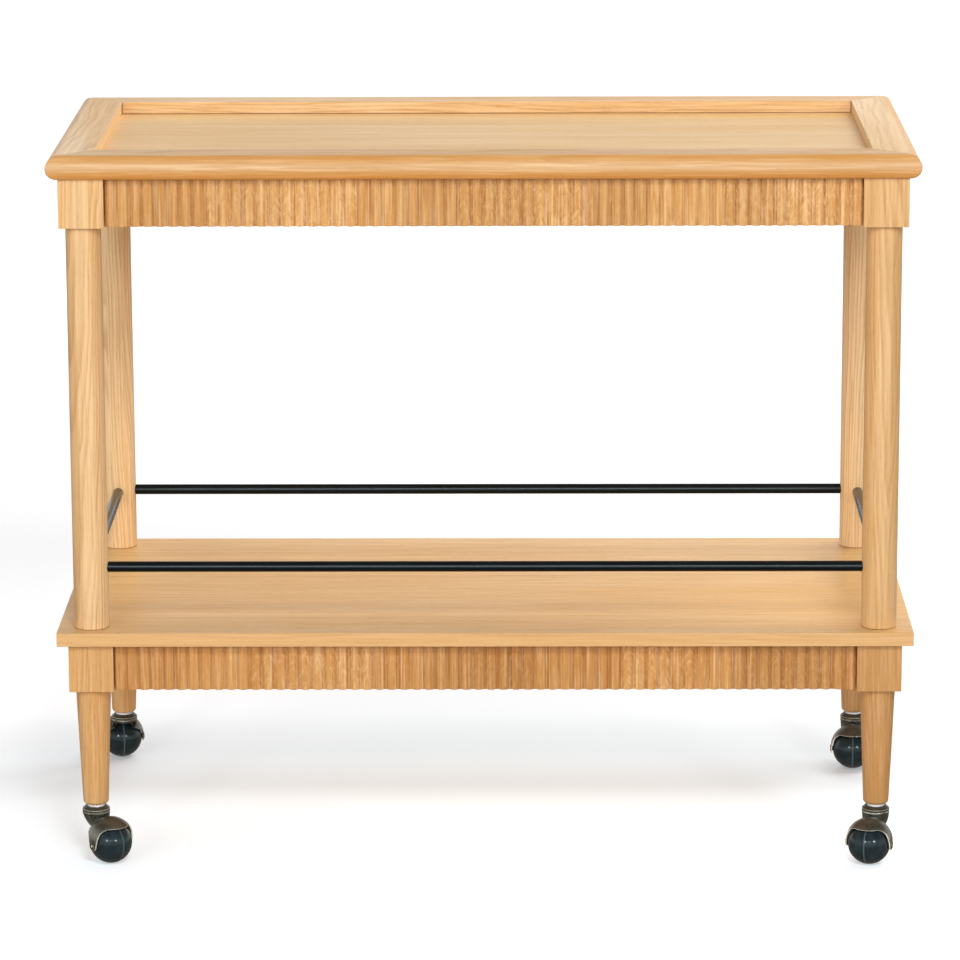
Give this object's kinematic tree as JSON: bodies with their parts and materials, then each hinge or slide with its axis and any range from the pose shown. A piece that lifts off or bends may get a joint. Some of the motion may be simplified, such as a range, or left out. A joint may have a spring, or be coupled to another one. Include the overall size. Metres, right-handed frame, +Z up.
{
  "type": "bar cart",
  "caption": "Oak bar cart with a recessed tray top, a railed shelf, reeded aprons and hooded ball casters that swivel and roll.",
  "frame": {"origin": "on the floor, under the middle of the cart", "axes": "+X to the cart's right as seen from the front, +Y from the front to the back, +Z up"},
  "size_m": [1.016, 0.5087, 0.859],
  "materials": {
    "oak_rim": "satin",
    "oak_board": "satin",
    "oak_turned": "satin",
    "oak_reeds": "satin",
    "oak_inner": "satin",
    "black_steel": "satin",
    "zinc": "satin",
    "bright_steel": "gloss",
    "brass": "satin",
    "dark_bronze": "satin",
    "ball_rubber": "gloss"
  },
  "bodies": {
    "cart": {"rim_front": "oak_rim", "rim_back": "oak_rim", "rim_left": "oak_rim", "rim_right": "oak_rim", "tray_panel": "oak_board", "post_front_left": "oak_turned", "post_front_right": "oak_turned", "post_rear_left": "oak_turned", "post_rear_right": "oak_turned", "upper_rail_front": "oak_inner", "upper_rail_back": "oak_inner", "upper_rail_left": "oak_inner", "upper_rail_right": "oak_inner", "upper_reeds_front": "oak_reeds", "upper_reeds_back": "oak_reeds", "upper_reeds_left": "oak_reeds", "upper_reeds_right": "oak_reeds", "upper_braces": "oak_inner", "upper_brace_screws": "zinc", "rod_front": "black_steel", "rod_back": "black_steel", "rod_left": "black_steel", "rod_right": "black_steel", "shelf": "oak_board", "post_studs": "zinc", "stud_inserts": "brass", "leg_front_left": "oak_turned", "leg_front_right": "oak_turned", "leg_rear_left": "oak_turned", "leg_rear_right": "oak_turned", "lower_rail_front": "oak_inner", "lower_rail_back": "oak_inner", "lower_rail_left": "oak_inner", "lower_rail_right": "oak_inner", "lower_reeds_front": "oak_reeds", "lower_reeds_back": "oak_reeds", "lower_reeds_left": "oak_reeds", "lower_reeds_right": "oak_reeds", "lower_braces": "oak_inner", "lower_brace_screws": "zinc", "caster_sockets": "zinc", "caster_stems": "zinc", "bearing_balls": "bright_steel", "cap_front_left": "dark_bronze", "cap_front_right": "dark_bronze", "cap_rear_left": "dark_bronze", "cap_rear_right": "dark_bronze"},
    "fork_front_left": {"hood_front_left": "dark_bronze", "axle_front_left": "dark_bronze"},
    "wheel_front_left": {"ball_front_left": "ball_rubber"},
    "fork_front_right": {"hood_front_right": "dark_bronze", "axle_front_right": "dark_bronze"},
    "wheel_front_right": {"ball_front_right": "ball_rubber"},
    "fork_rear_left": {"hood_rear_left": "dark_bronze", "axle_rear_left": "dark_bronze"},
    "wheel_rear_left": {"ball_rear_left": "ball_rubber"},
    "fork_rear_right": {"hood_rear_right": "dark_bronze", "axle_rear_right": "dark_bronze"},
    "wheel_rear_right": {"ball_rear_right": "ball_rubber"}
  },
  "joints": [
    {"name": "swivel_front_left", "type": "hinge", "parent": "cart", "child": "fork_front_left", "pos_m": [-0.4685, -0.202, 0.0587], "axis": [0, 0, 1], "continuous": true},
    {"name": "roll_front_left", "type": "hinge", "parent": "fork_front_left", "child": "wheel_front_left", "pos_m": [-0.44976, -0.22281, 0.0254], "axis": [0.7431, 0.6691, 0], "continuous": true},
    {"name": "swivel_front_right", "type": "hinge", "parent": "cart", "child": "fork_front_right", "pos_m": [0.4685, -0.202, 0.0587], "axis": [0, 0, 1], "continuous": true},
    {"name": "roll_front_right", "type": "hinge", "parent": "fork_front_right", "child": "wheel_front_right", "pos_m": [0.45938, -0.22847, 0.0254], "axis": [0.9455, -0.3256, 0], "continuous": true},
    {"name": "swivel_rear_left", "type": "hinge", "parent": "cart", "child": "fork_rear_left", "pos_m": [-0.4685, 0.202, 0.0587], "axis": [0, 0, 1], "continuous": true},
    {"name": "roll_rear_left", "type": "hinge", "parent": "fork_rear_left", "child": "wheel_rear_left", "pos_m": [-0.47432, 0.22939, 0.0254], "axis": [-0.9781, -0.2079, 0], "continuous": true},
    {"name": "swivel_rear_right", "type": "hinge", "parent": "cart", "child": "fork_rear_right", "pos_m": [0.4685, 0.202, 0.0587], "axis": [0, 0, 1], "continuous": true},
    {"name": "roll_rear_right", "type": "hinge", "parent": "fork_rear_right", "child": "wheel_rear_right", "pos_m": [0.46655, 0.17407, 0.0254], "axis": [0.9976, -0.0698, 0], "continuous": true}
  ]
}
